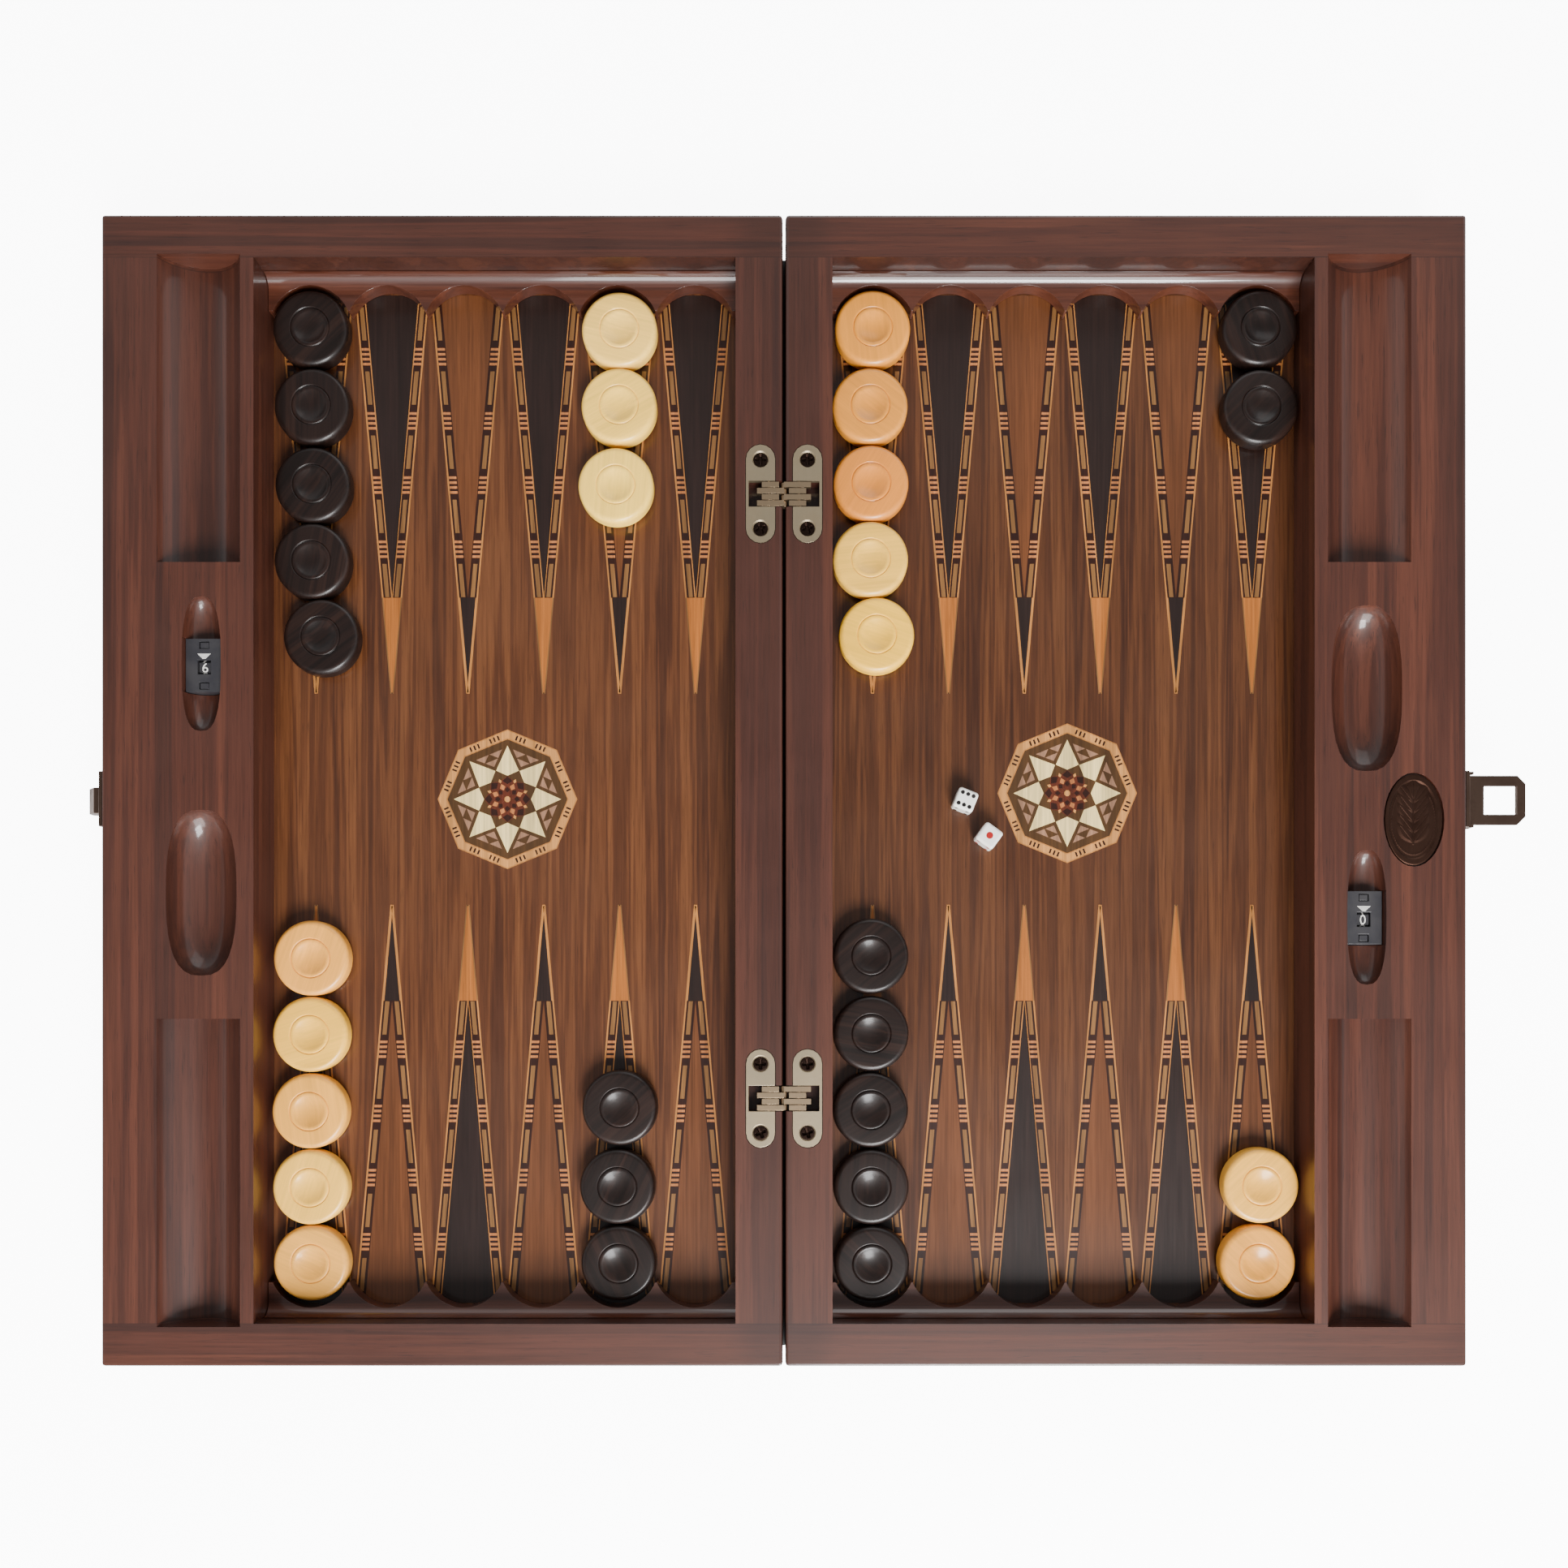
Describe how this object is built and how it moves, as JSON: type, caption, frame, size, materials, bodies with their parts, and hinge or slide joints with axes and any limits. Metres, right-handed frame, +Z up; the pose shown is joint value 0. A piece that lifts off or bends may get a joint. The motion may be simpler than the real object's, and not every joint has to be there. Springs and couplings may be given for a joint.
{
  "type": "backgammon set",
  "caption": "Folding wooden backgammon board with inlaid fields, scalloped ends, side trays, hollowed scoops, counters, latch, checkers and dice, shown open and set up.",
  "frame": {"origin": "middle of the open board's footprint on the table, latch hook and loop included", "axes": "+X from the left half to the right half, +Y along the fold away from the player who sits at the lower edge, +Z up"},
  "size_m": [0.6694, 0.53, 0.034],
  "materials": {
    "case_wood": "satin lacquer over dark reddish brown hardwood",
    "field_veneer": "satin lacquer over inlaid walnut veneer",
    "hinge_bronze": "brushed, slightly tarnished nickel bronze",
    "link_steel": "brushed, warm grey",
    "latch_bronze": "satin dark bronze",
    "badge_bronze": "satin dark bronze",
    "counter_black": "fine matt black",
    "checker_dark": "polished, stained almost black",
    "checker_light": "polished pale boxwood and maple",
    "die_white": "gloss white with coloured pips"
  },
  "bodies": {
    "left_half": {"left_case": "case_wood", "left_field_panel": "field_veneer", "left_top_scallop": "case_wood", "left_bottom_scallop": "case_wood", "left_counter_housing": "counter_black", "upper_hinge_left_leaf": "hinge_bronze", "lower_hinge_left_leaf": "hinge_bronze", "latch_catch": "latch_bronze"},
    "right_half": {"right_case": "case_wood", "right_field_panel": "field_veneer", "right_top_scallop": "case_wood", "right_bottom_scallop": "case_wood", "right_counter_housing": "counter_black", "upper_hinge_right_leaf": "hinge_bronze", "lower_hinge_right_leaf": "hinge_bronze", "latch_bracket": "latch_bronze", "badge": "badge_bronze"},
    "upper_hinge_left_link": {"upper_hinge_left_link": "link_steel"},
    "upper_hinge_right_link": {"upper_hinge_right_link": "link_steel"},
    "lower_hinge_left_link": {"lower_hinge_left_link": "link_steel"},
    "lower_hinge_right_link": {"lower_hinge_right_link": "link_steel"},
    "latch_loop": {"latch_loop": "latch_bronze"},
    "left_digit_wheel": {"left_digit_wheel": "counter_black"},
    "left_plus_button": {"left_plus_button": "counter_black"},
    "left_minus_button": {"left_minus_button": "counter_black"},
    "right_digit_wheel": {"right_digit_wheel": "counter_black"},
    "right_plus_button": {"right_plus_button": "counter_black"},
    "right_minus_button": {"right_minus_button": "counter_black"},
    "dark_checker_01": {"dark_checker_01": "checker_dark"},
    "dark_checker_02": {"dark_checker_02": "checker_dark"},
    "dark_checker_03": {"dark_checker_03": "checker_dark"},
    "dark_checker_04": {"dark_checker_04": "checker_dark"},
    "dark_checker_05": {"dark_checker_05": "checker_dark"},
    "light_checker_01": {"light_checker_01": "checker_light"},
    "light_checker_02": {"light_checker_02": "checker_light"},
    "light_checker_03": {"light_checker_03": "checker_light"},
    "light_checker_04": {"light_checker_04": "checker_light"},
    "light_checker_05": {"light_checker_05": "checker_light"},
    "light_checker_06": {"light_checker_06": "checker_light"},
    "light_checker_07": {"light_checker_07": "checker_light"},
    "light_checker_08": {"light_checker_08": "checker_light"},
    "dark_checker_06": {"dark_checker_06": "checker_dark"},
    "dark_checker_07": {"dark_checker_07": "checker_dark"},
    "dark_checker_08": {"dark_checker_08": "checker_dark"},
    "light_checker_09": {"light_checker_09": "checker_light"},
    "light_checker_10": {"light_checker_10": "checker_light"},
    "light_checker_11": {"light_checker_11": "checker_light"},
    "light_checker_12": {"light_checker_12": "checker_light"},
    "light_checker_13": {"light_checker_13": "checker_light"},
    "dark_checker_09": {"dark_checker_09": "checker_dark"},
    "dark_checker_10": {"dark_checker_10": "checker_dark"},
    "dark_checker_11": {"dark_checker_11": "checker_dark"},
    "dark_checker_12": {"dark_checker_12": "checker_dark"},
    "dark_checker_13": {"dark_checker_13": "checker_dark"},
    "dark_checker_14": {"dark_checker_14": "checker_dark"},
    "dark_checker_15": {"dark_checker_15": "checker_dark"},
    "light_checker_14": {"light_checker_14": "checker_light"},
    "light_checker_15": {"light_checker_15": "checker_light"},
    "die_a": {"die_a": "die_white"},
    "die_b": {"die_b": "die_white"}
  },
  "joints": [
    {"name": "fold", "type": "hinge", "parent": "left_half", "child": "right_half", "pos_m": [-0.0097, 0, 0.03415], "axis": [0, 1, 0], "range_deg": [-180, 0]},
    {"name": "upper_hinge_left_link_turn", "type": "hinge", "parent": "left_half", "child": "upper_hinge_left_link", "pos_m": [-0.0167, 0.1364, 0.03275], "axis": [0, 1, 0], "range_deg": [-180, 0]},
    {"name": "upper_hinge_right_link_turn", "type": "hinge", "parent": "right_half", "child": "upper_hinge_right_link", "pos_m": [-0.0027, 0.1364, 0.03275], "axis": [0, 1, 0], "range_deg": [0, 180]},
    {"name": "lower_hinge_left_link_turn", "type": "hinge", "parent": "left_half", "child": "lower_hinge_left_link", "pos_m": [-0.0167, -0.1416, 0.03275], "axis": [0, 1, 0], "range_deg": [-180, 0]},
    {"name": "lower_hinge_right_link_turn", "type": "hinge", "parent": "right_half", "child": "lower_hinge_right_link", "pos_m": [-0.0027, -0.1416, 0.03275], "axis": [0, 1, 0], "range_deg": [0, 180]},
    {"name": "latch_swing", "type": "hinge", "parent": "right_half", "child": "latch_loop", "pos_m": [0.3081, -0.0035, 0.027], "axis": [0, 1, 0], "range_deg": [-90, 75]},
    {"name": "left_digit_wheel_turn", "type": "hinge", "parent": "left_half", "child": "left_digit_wheel", "pos_m": [-0.2776, 0.0575, 0.023], "axis": [1, 0, 0], "continuous": true},
    {"name": "left_plus_button_press", "type": "slide", "parent": "left_half", "child": "left_plus_button", "axis": [0, 0, -1], "range_m": [0, 0.0008], "stiffness_N_per_m": 200},
    {"name": "left_minus_button_press", "type": "slide", "parent": "left_half", "child": "left_minus_button", "axis": [0, 0, -1], "range_m": [0, 0.0008], "stiffness_N_per_m": 200},
    {"name": "right_digit_wheel_turn", "type": "hinge", "parent": "right_half", "child": "right_digit_wheel", "pos_m": [0.2582, -0.0591, 0.023], "axis": [1, 0, 0], "continuous": true},
    {"name": "right_plus_button_press", "type": "slide", "parent": "right_half", "child": "right_plus_button", "axis": [0, 0, -1], "range_m": [0, 0.0008], "stiffness_N_per_m": 200},
    {"name": "right_minus_button_press", "type": "slide", "parent": "right_half", "child": "right_minus_button", "axis": [0, 0, -1], "range_m": [0, 0.0008], "stiffness_N_per_m": 200},
    {"name": "dark_checker_01_lift", "type": "slide", "parent": "left_half", "child": "dark_checker_01", "axis": [0, 0, 1], "range_m": [0, 0.04]},
    {"name": "dark_checker_02_lift", "type": "slide", "parent": "left_half", "child": "dark_checker_02", "axis": [0, 0, 1], "range_m": [0, 0.04]},
    {"name": "dark_checker_03_lift", "type": "slide", "parent": "left_half", "child": "dark_checker_03", "axis": [0, 0, 1], "range_m": [0, 0.04]},
    {"name": "dark_checker_04_lift", "type": "slide", "parent": "left_half", "child": "dark_checker_04", "axis": [0, 0, 1], "range_m": [0, 0.04]},
    {"name": "dark_checker_05_lift", "type": "slide", "parent": "left_half", "child": "dark_checker_05", "axis": [0, 0, 1], "range_m": [0, 0.04]},
    {"name": "light_checker_01_lift", "type": "slide", "parent": "left_half", "child": "light_checker_01", "axis": [0, 0, 1], "range_m": [0, 0.04]},
    {"name": "light_checker_02_lift", "type": "slide", "parent": "left_half", "child": "light_checker_02", "axis": [0, 0, 1], "range_m": [0, 0.04]},
    {"name": "light_checker_03_lift", "type": "slide", "parent": "left_half", "child": "light_checker_03", "axis": [0, 0, 1], "range_m": [0, 0.04]},
    {"name": "light_checker_04_lift", "type": "slide", "parent": "left_half", "child": "light_checker_04", "axis": [0, 0, 1], "range_m": [0, 0.04]},
    {"name": "light_checker_05_lift", "type": "slide", "parent": "left_half", "child": "light_checker_05", "axis": [0, 0, 1], "range_m": [0, 0.04]},
    {"name": "light_checker_06_lift", "type": "slide", "parent": "left_half", "child": "light_checker_06", "axis": [0, 0, 1], "range_m": [0, 0.04]},
    {"name": "light_checker_07_lift", "type": "slide", "parent": "left_half", "child": "light_checker_07", "axis": [0, 0, 1], "range_m": [0, 0.04]},
    {"name": "light_checker_08_lift", "type": "slide", "parent": "left_half", "child": "light_checker_08", "axis": [0, 0, 1], "range_m": [0, 0.04]},
    {"name": "dark_checker_06_lift", "type": "slide", "parent": "left_half", "child": "dark_checker_06", "axis": [0, 0, 1], "range_m": [0, 0.04]},
    {"name": "dark_checker_07_lift", "type": "slide", "parent": "left_half", "child": "dark_checker_07", "axis": [0, 0, 1], "range_m": [0, 0.04]},
    {"name": "dark_checker_08_lift", "type": "slide", "parent": "left_half", "child": "dark_checker_08", "axis": [0, 0, 1], "range_m": [0, 0.04]},
    {"name": "light_checker_09_lift", "type": "slide", "parent": "right_half", "child": "light_checker_09", "axis": [0, 0, 1], "range_m": [0, 0.04]},
    {"name": "light_checker_10_lift", "type": "slide", "parent": "right_half", "child": "light_checker_10", "axis": [0, 0, 1], "range_m": [0, 0.04]},
    {"name": "light_checker_11_lift", "type": "slide", "parent": "right_half", "child": "light_checker_11", "axis": [0, 0, 1], "range_m": [0, 0.04]},
    {"name": "light_checker_12_lift", "type": "slide", "parent": "right_half", "child": "light_checker_12", "axis": [0, 0, 1], "range_m": [0, 0.04]},
    {"name": "light_checker_13_lift", "type": "slide", "parent": "right_half", "child": "light_checker_13", "axis": [0, 0, 1], "range_m": [0, 0.04]},
    {"name": "dark_checker_09_lift", "type": "slide", "parent": "right_half", "child": "dark_checker_09", "axis": [0, 0, 1], "range_m": [0, 0.04]},
    {"name": "dark_checker_10_lift", "type": "slide", "parent": "right_half", "child": "dark_checker_10", "axis": [0, 0, 1], "range_m": [0, 0.04]},
    {"name": "dark_checker_11_lift", "type": "slide", "parent": "right_half", "child": "dark_checker_11", "axis": [0, 0, 1], "range_m": [0, 0.04]},
    {"name": "dark_checker_12_lift", "type": "slide", "parent": "right_half", "child": "dark_checker_12", "axis": [0, 0, 1], "range_m": [0, 0.04]},
    {"name": "dark_checker_13_lift", "type": "slide", "parent": "right_half", "child": "dark_checker_13", "axis": [0, 0, 1], "range_m": [0, 0.04]},
    {"name": "dark_checker_14_lift", "type": "slide", "parent": "right_half", "child": "dark_checker_14", "axis": [0, 0, 1], "range_m": [0, 0.04]},
    {"name": "dark_checker_15_lift", "type": "slide", "parent": "right_half", "child": "dark_checker_15", "axis": [0, 0, 1], "range_m": [0, 0.04]},
    {"name": "light_checker_14_lift", "type": "slide", "parent": "right_half", "child": "light_checker_14", "axis": [0, 0, 1], "range_m": [0, 0.04]},
    {"name": "light_checker_15_lift", "type": "slide", "parent": "right_half", "child": "light_checker_15", "axis": [0, 0, 1], "range_m": [0, 0.04]},
    {"name": "die_a_lift", "type": "slide", "parent": "right_half", "child": "die_a", "axis": [0, 0, 1], "range_m": [0, 0.04]},
    {"name": "die_b_lift", "type": "slide", "parent": "right_half", "child": "die_b", "axis": [0, 0, 1], "range_m": [0, 0.04]}
  ],
  "couplings": [
    {"joint": "upper_hinge_left_link_turn", "follows": "fold", "ratio": 1},
    {"joint": "upper_hinge_right_link_turn", "follows": "fold", "ratio": -1},
    {"joint": "lower_hinge_left_link_turn", "follows": "fold", "ratio": 1},
    {"joint": "lower_hinge_right_link_turn", "follows": "fold", "ratio": -1}
  ]
}
